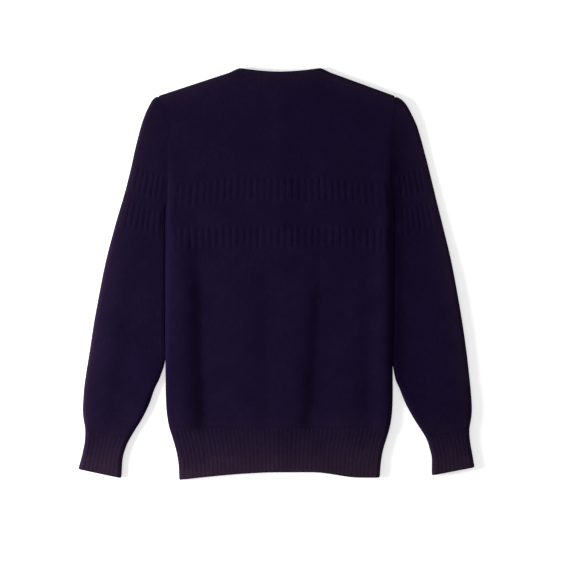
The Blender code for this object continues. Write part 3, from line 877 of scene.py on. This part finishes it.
def knit_material(finish):
    """Woollen knit in one colour, painted paler toward the folded rim and toward the bottom, over
    the hem and the cuffs' ends: painted light.
    """
    name, narrowing = FINISHES[finish]
    if name in bpy.data.materials:
        return bpy.data.materials[name]
    material, tree, shader = new_material(name)
    maths = partial(sums, tree)
    sizes = bpy.context.scene.cardigan_shape
    colours = bpy.context.scene.cardigan_colours
    place = node(tree, "ShaderNodeTexCoord").outputs["Object"]
    cloth = node(tree, "ShaderNodeUVMap", uv_map="Cloth").outputs[0]
    # The groove attribute and the rim attribute feed the painted shade and the painted light
    relief = node(tree, "ShaderNodeAttribute", attribute_name="groove").outputs["Fac"]
    rim = node(tree, "ShaderNodeAttribute", attribute_name="rim").outputs["Fac"]
    inputs = {
        "Cloth": cloth, "Stitch width": sizes.wale * narrowing, "Stitch height": sizes.course}
    stitches = node(tree, "ShaderNodeGroup", inputs, node_tree=stitch_group())
    parts = node(tree, "ShaderNodeSeparateXYZ", {0: place})
    # Painted light: the yarn turns paler toward the bottom and toward the folded rim
    ends = ranged(tree, parts.outputs["Y"], PAINTED_LIGHT_FROM * MM, PAINTED_LIGHT_TO * MM)
    share = maths("MAXIMUM", maths("POWER", ends, PAINTED_LIGHT_POWER), maths("MULTIPLY", rim, RIM_PAINTED_LIGHT))
    yarn_with_painted_light = blend_colours(tree, share, (*getattr(colours, finish), 1.0), (*colours.painted_light, 1.0))
    pale = blend_colours(tree, 1.0, yarn_with_painted_light, (2.6, 2.8, 2.3, 1.0), "MULTIPLY")
    inputs = {
        "Place": place, "Cloth": cloth, "Colour": yarn_with_painted_light, "Light fibre": pale,
        "Gap": stitches.outputs["Gap"], "Relief": relief}
    yarn = node(tree, "ShaderNodeGroup", inputs, node_tree=yarn_and_shade_group())
    fuzz = yarn.outputs["Fuzz"]
    height = maths("ADD", stitches.outputs["Height"], maths("MULTIPLY", fuzz, 0.5))
    inputs = {"Strength": 0.8, "Distance": STITCH_BUMP, "Height": height}
    fill(tree, shader, {
        "Base Color": yarn.outputs["Colour"],
        "Roughness": maths("ADD", maths("MULTIPLY", fuzz, 0.15), 0.78),
        "Normal": node(tree, "ShaderNodeBump", inputs).outputs[0],
        "Sheen Weight": 0.02,
        "Sheen Roughness": 0.45,
        "Sheen Tint": (0.45, 0.3, 1.0, 1.0),
        "Specular IOR Level": 0.02,
    })
    return material


def horn_material():
    """Dark polished horn with faint streaks."""
    if "Horn" in bpy.data.materials:
        return bpy.data.materials["Horn"]
    material, tree, shader = new_material("Horn")
    place = node(tree, "ShaderNodeTexCoord").outputs["Object"]
    streaks = noise(tree, stretched(tree, place, 4.0), 160.0, 4.0)
    colour = bpy.context.scene.cardigan_colours.horn
    pale = (*(channel * 3.0 for channel in colour), 1.0)
    colour = blend_colours(tree, streaks, (*colour, 1.0), pale)
    rough = sums(tree, "ADD", sums(tree, "MULTIPLY", streaks, 0.2), 0.25)
    fill(tree, shader, {"Base Color": colour, "Roughness": rough})
    return material


# Pieces of cloth


def body_folds():
    """Folded edges of the body."""
    return [outer_fold(side, True) for side in SIDES] + [side_fold(side) for side in SIDES]


def upright(x):
    """Edge that runs straight down at one place along X."""
    return lambda y: np.full(len(y), x)


def panel_spots(top, left, right, across, y):
    """Places in plan of a body panel that hangs from a shaped top edge."""
    level_x = left(y) + (right(y) - left(y)) * across
    down = np.clip((TIP_Y - y) / (TIP_Y - YOKE_Y), 0.0, 1.0)
    tip = np.full(len(y), TIP_Y)
    yoke = np.full(len(y), YOKE_Y)
    x = top[:, 0] * (1 - down) + (left(yoke) + (right(yoke) - left(yoke)) * across) * down
    spot_y = top[:, 1] * (1 - down) + YOKE_Y * down
    height = TIP_Y + (YOKE_Y - TIP_Y) * down
    for share, edge in ((1 - 2 * across, left), (2 * across - 1, right)):
        straight = edge(tip) + (edge(yoke) - edge(tip)) * down
        x = x + np.maximum(share, 0.0) * (edge(height) - straight)
    above = y > YOKE_Y
    return np.stack((np.where(above, x, level_x), np.where(above, spot_y, y)), axis=-1)


def flat_section(y):
    """Direction across the body where its sides are folded, and nothing above the armpit."""
    section = np.tile((1.0, 0.0), (len(y), 1))
    section[y > ARMPIT_Y] = np.nan
    return section


def back_top(across):
    """Top edge of the back: shoulder, neck, shoulder."""
    left, right = BODY[0].left, BODY[0].right
    x = left + (right - left) * across
    neck = (x - AXIS_X) / NECK.half
    curve = back_curve(np.clip(neck, -1, 1), NECK)
    slope_left = TIP_Y + (NECK.top - TIP_Y) * (x - left) / (AXIS_X - NECK.half - left)
    slope_right = TIP_Y + (NECK.top - TIP_Y) * (right - x) / (right - AXIS_X - NECK.half)
    y = np.where(neck < -1, slope_left, np.where(neck > 1, slope_right, curve[:, 1]))
    return np.stack((x, y), axis=-1)


def back_shape():
    """Shape function of the back panel, with its columns and rows."""
    across = steps_across(BACK_WIDTH, BACK_RIBS // 2, 16)
    down = steps_down(*BACK_ROWS)
    folds = body_folds()
    rib = size("band_rib")

    def shape(column, row):
        u, y = across[column], down[row]
        left, right = (partial(body_edge, side) for side in SIDES)
        spots = panel_spots(back_top(u), left, right, u, y)
        points, normals, rim = lay(spots, True, folds, flat_section(y))
        neck = back_curve(np.clip((spots[:, 0] - AXIS_X) / NECK.half, -1, 1), NECK)
        below = np.maximum(neck[:, 1] - spots[:, 1], 0.0)
        rim = np.maximum(rim, np.exp(-(below + NECKBAND_DEPTH) / RIM_REACH))
        position = between(u, FOLD_REACH / BACK_WIDTH)
        from_middle = np.abs(u - 0.5) * 2
        relief = 0.0
        for number, (band, droop) in enumerate(zip(BODY_BANDS, BAND_DROOP)):
            sunk = y + droop * smooth((from_middle - DROOP_FROM) / DROOP_REACH)
            relief = relief + rib * rib_band(
                position, sunk, band, BACK_RIBS, BACK_SEED + number, **BODY_BAND_ENDS)
        side = np.minimum(u, 1 - u) * BACK_WIDTH
        relief = relief + edge_dip(np.abs(y - HEM_TOP), SEAM_DIP)
        relief = relief + np.where(y > ARMPIT_Y, edge_dip(side, SIDE_SEAM_DIP), 0.0)
        flat = np.stack((u * BACK_WIDTH, spots[:, 1]), axis=-1)
        return points, normals, relief, flat, rim
    return len(across) - 1, len(down) - 1, shape


def front_shape(side):
    """Shape function of one front."""
    across = steps_across(FRONT_WIDTH, 11, 4, far_end=False)
    down = steps_down(*FRONT_ROWS)
    tip = np.array((getattr(BODY[0], side), TIP_Y))
    neck = np.array((AXIS_X + toward(side) * NECK.half, NECK.top))
    folds = body_folds()
    centre = upright(AXIS_X + toward(side) * FRONT_EDGE)

    def shape(column, row):
        u, y = across[column], down[row]
        slope = tip + (neck - tip) * np.clip(u / NECK_TURN, 0, 1)[:, None]
        curve = front_curve(side, np.clip((u - NECK_TURN) / (1 - NECK_TURN), 0, 1), NECK)
        top = np.where((u < NECK_TURN)[:, None], slope, curve)
        spots = panel_spots(top, partial(body_edge, side), centre, u, y)
        points, normals, rim = lay(spots, False, folds, flat_section(y))
        flat = np.stack((u * FRONT_WIDTH, spots[:, 1]), axis=-1)
        return points, normals, np.zeros(len(y)), flat, rim
    return len(across) - 1, len(down) - 1, shape


def sleeve_shape(side, cells, per_cell, stations, ribbing):
    """Shape function of a sleeve or cuff: from its inner edge over the top and back below."""
    folds = [outer_fold(side, False), inner_fold(side)]
    half = steps_across(SLEEVE_WIDTH, cells, per_cell)
    around = np.concatenate((half, 1 + half[1:]))

    def shape(column, row):
        u, station = around[column], stations[row]
        upper = u <= 1
        outer, inner = sleeve_ends(side, station)
        width = np.linalg.norm(outer - inner, axis=1)
        share = np.where(upper, u, 2 - u)
        spots = inner + (outer - inner) * share[:, None]
        section = (outer - inner) / width[:, None]
        section[station < ARMPIT_ROW - 1] = np.nan
        points, normals, rim = lay(spots, upper, folds, section)
        relief = ribbing(share, station, upper, width)
        flat = np.stack((u * SLEEVE_WIDTH, spots[:, 1]), axis=-1)
        return points, normals, relief, flat, rim
    return len(around) - 1, len(stations) - 1, shape


def sleeve_relief(share, station, upper, width):
    """Relief of a sleeve: two raised bands of ribs, and sunk seams."""
    rib = size("band_rib")
    position = between(share, FOLD_REACH / SLEEVE_WIDTH)
    total = 0.0
    for number, (band, count) in enumerate(zip(SLEEVE_BANDS, SLEEVE_RIBS)):
        total = total + rib_band(
            position, station, band, count, SLEEVE_SEED + number, **SLEEVE_BAND_ENDS)
    total = rib * total
    total = np.where(upper, total, pressed(total, rib) * (total != 0))
    cap = np.where(station < ARMPIT_ROW, edge_dip(share * width, SIDE_SEAM_DIP), 0.0)
    cuff = edge_dip((CUFF_ROW - station) * SLEEVE_STEP, SEAM_DIP)
    return total + cuff + np.where(upper, cap, 0.0)


def cuff_relief(share, station, upper, _width):
    """Relief of a cuff: ribs all along, soft at the cuff's end."""
    rib = size("edge_rib")
    position = between(share, FOLD_REACH / SLEEVE_WIDTH * RIB_MARGIN)
    fade = smooth((station - CUFF_ROW) / 0.3)
    total = rib * ribs(position, CUFF_RIBS, CUFF_SEED, **EDGE_RIB) * fade
    total = np.where(upper, total, pressed(total, rib) * fade)
    start = edge_dip((station - CUFF_ROW) * CUFF_STEP, SEAM_DIP)
    return total + start + edge_dip((LAST_ROW - station) * CUFF_END_STEP, END_DIP)


def hem_shape(near, far, width, upper, rib_count, per_rib, step):
    """Shape function of a stretch of hem between two edges."""
    across = steps_across(width, rib_count, per_rib, far_end=upper)
    top = HEM_TOP + SEAM_LAP
    down = steps_down((0.0, 0.12, 0.02), (0.12, 0.92, step), (0.92, 1.0, 0.02))
    rib = size("edge_rib")
    folds = body_folds()

    def shape(column, row):
        u, along = across[column], down[row]
        x = np.full(len(u), AXIS_X)
        for _ in range(3):
            y = top + (hem_bottom(x) - top) * along
            x = near(y) + (far(y) - near(y)) * u
        spots = np.stack((x, y), axis=-1)
        points, normals, rim = lay(spots, upper, folds, flat_section(y))
        position = between(u, FOLD_REACH / width * RIB_MARGIN) if upper else u
        fade = smooth(along / 0.06)
        relief = rib * ribs(position, rib_count, HEM_SEED, **EDGE_RIB) * fade
        if not upper:
            relief = pressed(relief, rib) * fade
        relief = relief + edge_dip(along * HEM_DEPTH, SEAM_DIP)
        relief = relief + edge_dip((1 - along) * HEM_DEPTH, END_DIP)
        flat = np.stack((u * width, y), axis=-1)
        return points, normals, relief, flat, rim
    return len(across) - 1, len(down) - 1, shape


def neckband_shape():
    """Shape function of the neckband, from the left front round the back to the right."""
    front = np.linspace(1, 0, 130)
    back = np.linspace(-1, 1, 170)
    seam, free = (
        np.vstack((
            front_curve("left", front, line),
            back_curve(back[1:-1], line),
            front_curve("right", front[::-1], line),
        ))
        for line in (NECK, COLLAR)
    )
    first, last = len(front) - 1, len(front) + len(back) - 2
    length = np.concatenate(([0], np.cumsum(np.linalg.norm(np.diff(seam, axis=0), axis=1))))
    across = steps_down(*NECKBAND_ROWS)
    folds = [outer_fold(side, False) for side in SIDES]
    rib = size("edge_rib")

    def shape(column, row):
        share = across[row]
        spots = seam[column] * (1 - share[:, None]) + free[column] * share[:, None]
        upper = (column >= first) & (column <= last)
        points, normals, rim = lay(spots, upper, folds)
        position = length[column] / length[-1]
        relief = ribs(position, NECKBAND_RIBS, NECKBAND_SEED, **EDGE_RIB)
        relief = NECKBAND_RIB_SHARE * rib * relief * smooth(share / 0.3)
        relief = np.where(upper, relief, pressed(relief, rib))
        relief = relief + edge_dip(share * NECKBAND_DEPTH, SEAM_DIP)
        relief = relief + edge_dip((1 - share) * NECKBAND_DEPTH, END_DIP, NECKBAND_END_REACH)
        rim = np.maximum(rim, np.exp((share - 1) * NECKBAND_DEPTH / RIM_REACH))
        flat = np.stack((length[column], share * NECKBAND_DEPTH), axis=-1)
        return points, normals, relief, flat, rim
    return len(seam) - 1, len(across) - 1, shape


def button_places():
    """Heights of the buttons on the page."""
    return np.linspace(BUTTON_TOP_Y, BUTTON_BOTTOM_Y, BUTTON_COUNT)


def band_shape(first, last, base):
    """Shape function of a front band, which rises over the buttons."""
    across = np.linspace(first, last, 29)
    top = front_curve("left", np.array((1.0,)), COLLAR)[0, 1]
    down = np.linspace(top, HEM_MIDDLE, 190)

    def shape(column, row):
        x, y = across[column], down[row]
        near = np.abs(y[:, None] - button_places()).min(axis=1)
        away = np.maximum(np.abs(x), near)
        rise = np.clip((BUMP_REACH - away) / (BUMP_REACH - BUMP_FLAT), 0.0, 1.0) * BUTTON_RISE
        points = np.stack((AXIS_X + x, y, base + rise), axis=-1)
        normals = np.tile((0.0, 0.0, -1.0), (len(x), 1))
        ridge = np.abs(np.sin((x + PLACKET_HALF) * math.pi / BAND_RIB_WIDTH)) ** 0.8
        edge = np.minimum(x - first, last - x)
        relief = (ridge - 1) * BAND_RIB_DEPTH
        relief = relief + edge_dip(edge, BAND_EDGE_DIP, BAND_EDGE_REACH)
        flat = np.stack((x, y), axis=-1)
        return points, normals, relief, flat, np.zeros(len(x))
    return len(across) - 1, len(down) - 1, shape


# Operators


class CARDIGAN_OT_back(bpy.types.Operator):
    """Back panel with its two raised bands"""
    bl_idname = "cardigan.back"
    bl_label = "Back"

    def execute(self, context):
        make_cloth("back", back_shape(), "knit", "back", "front_left_cloth", "front_right_cloth")
        return {"FINISHED"}


class CARDIGAN_OT_fronts(bpy.types.Operator):
    """Both fronts, which lie face down"""
    bl_idname = "cardigan.fronts"
    bl_label = "Fronts"

    def execute(self, context):
        for side in SIDES:
            make_cloth(f"front_{side}", front_shape(side), "knit", "front", "floor")
        return {"FINISHED"}


class CARDIGAN_OT_sleeves(bpy.types.Operator):
    """Both sleeves with their raised bands"""
    bl_idname = "cardigan.sleeves"
    bl_label = "Sleeves"

    def execute(self, context):
        for side in SIDES:
            shape = sleeve_shape(side, 6, 9, steps_down(*SLEEVE_ROWS), sleeve_relief)
            make_cloth(f"sleeve_{side}", shape, "knit", "sleeve", "floor")
        return {"FINISHED"}


class CARDIGAN_OT_cuffs(bpy.types.Operator):
    """Both ribbed cuffs"""
    bl_idname = "cardigan.cuffs"
    bl_label = "Cuffs"

    def execute(self, context):
        for side in SIDES:
            shape = sleeve_shape(side, CUFF_RIBS, 8, steps_down(*CUFF_ROWS), cuff_relief)
            make_cloth(f"cuff_{side}", shape, "rib", "cuff", "floor")
        return {"FINISHED"}


class CARDIGAN_OT_hem(bpy.types.Operator):
    """Ribbed hem of the back and both fronts"""
    bl_idname = "cardigan.hem"
    bl_label = "Hem"

    def execute(self, context):
        left, right = (partial(body_edge, side) for side in SIDES)
        shape = hem_shape(left, right, HEM_BACK_WIDTH, True, HEM_BACK_RIBS, 8, 0.05)
        make_cloth("hem_back", shape, "rib", "hem_back", "hem_left_cloth", "hem_right_cloth")
        for side, edge in zip(SIDES, (left, right)):
            centre = upright(AXIS_X + toward(side) * FRONT_EDGE)
            shape = hem_shape(edge, centre, HEM_FRONT_WIDTH, False, HEM_FRONT_RIBS, 6, 0.1)
            make_cloth(f"hem_{side}", shape, "rib", "hem_front", "floor")
        return {"FINISHED"}


class CARDIGAN_OT_neckband(bpy.types.Operator):
    """Ribbed neckband"""
    bl_idname = "cardigan.neckband"
    bl_label = "Neckband"

    def execute(self, context):
        fronts = (f"front_{side}_cloth" for side in SIDES)
        make_cloth("neckband", neckband_shape(), "rib", "neckband", *fronts)
        return {"FINISHED"}


class CARDIGAN_OT_bands(bpy.types.Operator):
    """Button band and buttonhole band down the centre front"""
    bl_idname = "cardigan.bands"
    bl_label = "Front bands"

    def execute(self, context):
        wide, narrow = PLACKET_HALF, PLACKET_HALF - PLACKET_INSET
        for name, first, last, base, under in (
                ("buttonhole_band", -narrow, wide, 0.0, "floor"),
                ("button_band", -wide, narrow, SECOND_LAYER, "buttonhole_band_cloth")):
            make_cloth(name, band_shape(first, last, base), "rib", "band", under)
        return {"FINISHED"}


class CARDIGAN_OT_buttons(bpy.types.Operator):
    """Finish of the seven buttons"""
    bl_idname = "cardigan.buttons"
    bl_label = "Buttons"

    def execute(self, context):
        for number in range(1, BUTTON_COUNT + 1):
            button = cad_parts[f"button_{number}"]
            for slot in button.material_slots:
                slot.material = horn_material()
        return {"FINISHED"}


class CARDIGAN_OT_stage(bpy.types.Operator):
    """Pale floor, soft light from the upper left, and a camera straight above"""
    bl_idname = "cardigan.stage"
    bl_label = "Stage"

    def execute(self, context):
        scene = context.scene
        mesh = bmesh.new()
        bmesh.ops.create_grid(mesh, x_segments=1, y_segments=1, size=FLOOR_SIZE)
        data = bpy.data.meshes.new("floor")
        mesh.to_mesh(data)
        mesh.free()
        material, tree, shader = new_material("Floor")
        fill(tree, shader, {
            "Base Color": (*scene.cardigan_colours.floor, 1.0),
            "Roughness": 1.0,
            "Specular IOR Level": 0.0,
            "Emission Color": WHITE,
            "Emission Strength": FLOOR_GLOW,
        })
        data.materials.append(material)
        floor = bpy.data.objects.new("floor", data)
        scene.collection.objects.link(floor)

        world = bpy.data.worlds.new("Studio")
        world.use_nodes = True
        sky = world.node_tree.nodes["Background"]
        fill(world.node_tree, sky, {"Color": WHITE, "Strength": SKY})
        scene.world = world
        key = bpy.data.lights.new("Key", "AREA")
        key.shape = "DISK"
        key.size = KEY_SIZE
        key.energy = KEY_WATTS
        lamp = bpy.data.objects.new("Key", key)
        lamp.location = KEY_PLACE
        lamp.rotation_euler = (-lamp.location).to_track_quat("-Z", "Y").to_euler()
        scene.collection.objects.link(lamp)

        camera = bpy.data.cameras.new("Camera")
        camera.sensor_width = SENSOR
        camera.lens = SENSOR * (VIEW_HEIGHT - LAID_HEIGHT / 2) / VIEW_WIDTH
        camera.clip_end = 20.0
        eye = bpy.data.objects.new("Camera", camera)
        eye.location = (VIEW_CENTRE[0] * MM, VIEW_CENTRE[1] * MM, VIEW_HEIGHT * MM)
        scene.collection.objects.link(eye)
        scene.camera = eye
        scene.view_settings.view_transform = "Standard"
        scene.view_settings.look = "None"
        return {"FINISHED"}


OPERATORS = (
    CARDIGAN_OT_back,
    CARDIGAN_OT_fronts,
    CARDIGAN_OT_sleeves,
    CARDIGAN_OT_cuffs,
    CARDIGAN_OT_hem,
    CARDIGAN_OT_neckband,
    CARDIGAN_OT_bands,
    CARDIGAN_OT_buttons,
    CARDIGAN_OT_stage,
)


class CARDIGAN_PT_panel(bpy.types.Panel):
    """Pieces, sizes and colours of the cardigan"""
    bl_idname = "CARDIGAN_PT_panel"
    bl_label = "Cardigan"
    bl_space_type = "VIEW_3D"
    bl_region_type = "UI"
    bl_category = "Cardigan"

    def draw(self, context):
        for group in (context.scene.cardigan_shape, context.scene.cardigan_colours):
            box = self.layout.box()
            for name in group.__annotations__:
                box.prop(group, name)
        for operator in OPERATORS:
            self.layout.operator(operator.bl_idname)


CLASSES = (CardiganShape, CardiganColours, *OPERATORS, CARDIGAN_PT_panel)


def register():
    for cls in CLASSES:
        bpy.utils.register_class(cls)
    bpy.types.Scene.cardigan_shape = bpy.props.PointerProperty(type=CardiganShape)
    bpy.types.Scene.cardigan_colours = bpy.props.PointerProperty(type=CardiganColours)


def unregister():
    del bpy.types.Scene.cardigan_colours
    del bpy.types.Scene.cardigan_shape
    for cls in reversed(CLASSES):
        bpy.utils.unregister_class(cls)


def main():
    register()
    for operator in OPERATORS:
        group, name = operator.bl_idname.split(".")
        getattr(getattr(bpy.ops, group), name)()


if __name__ == "__main__":
    main()
